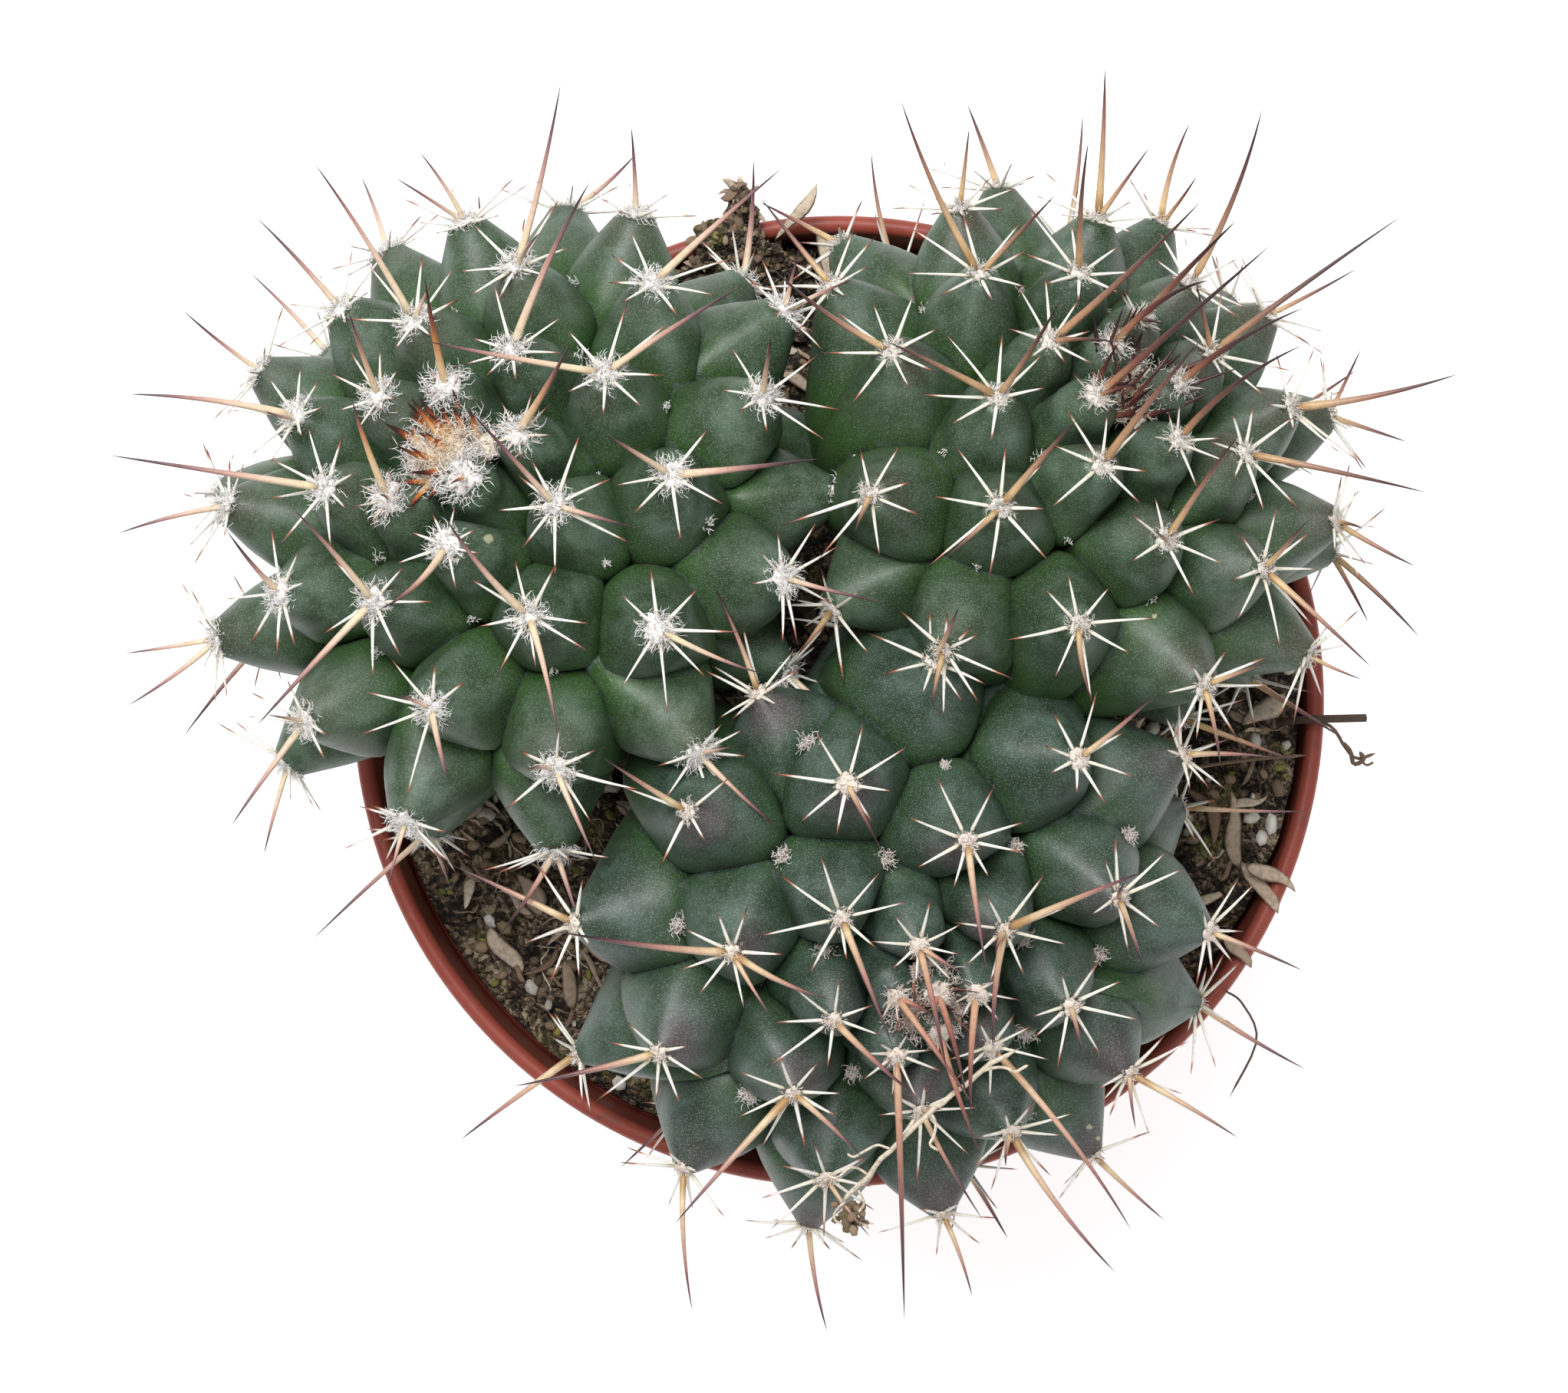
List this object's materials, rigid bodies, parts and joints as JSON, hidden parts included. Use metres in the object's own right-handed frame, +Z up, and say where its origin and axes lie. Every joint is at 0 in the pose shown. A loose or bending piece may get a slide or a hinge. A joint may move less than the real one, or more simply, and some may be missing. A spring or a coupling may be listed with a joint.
{
  "type": "potted cactus",
  "caption": "Cluster of young globular cactus plants with stout tubercles and long stiff spines, growing in a round plastic nursery pot filled with soil.",
  "frame": {"origin": "middle of the flat pad under the pot, on the surface that the pot stands on", "axes": "+Z up along the pot's axis; seen from above with +Y up the page, plant_left is at the upper left, plant_right at the upper right and plant_front at the bottom"},
  "size_m": [0.1503, 0.1357, 0.1528],
  "materials": {
    "pot_plastic": "satin moulded polypropylene, terracotta brown",
    "soil": "rough dark potting soil with grit and dry husks",
    "plant_left_skin": "satin succulent skin with fine pale dots, white wool and pale spines",
    "plant_right_skin": "satin succulent skin with fine pale dots, dark young spines",
    "plant_front_skin": "satin blue-green succulent skin with fine pale dots, cream spines"
  },
  "bodies": {
    "root": {"pot": "pot_plastic", "soil": "soil", "plant_left": "plant_left_skin", "plant_right": "plant_right_skin", "plant_front": "plant_front_skin"}
  },
  "joints": []
}
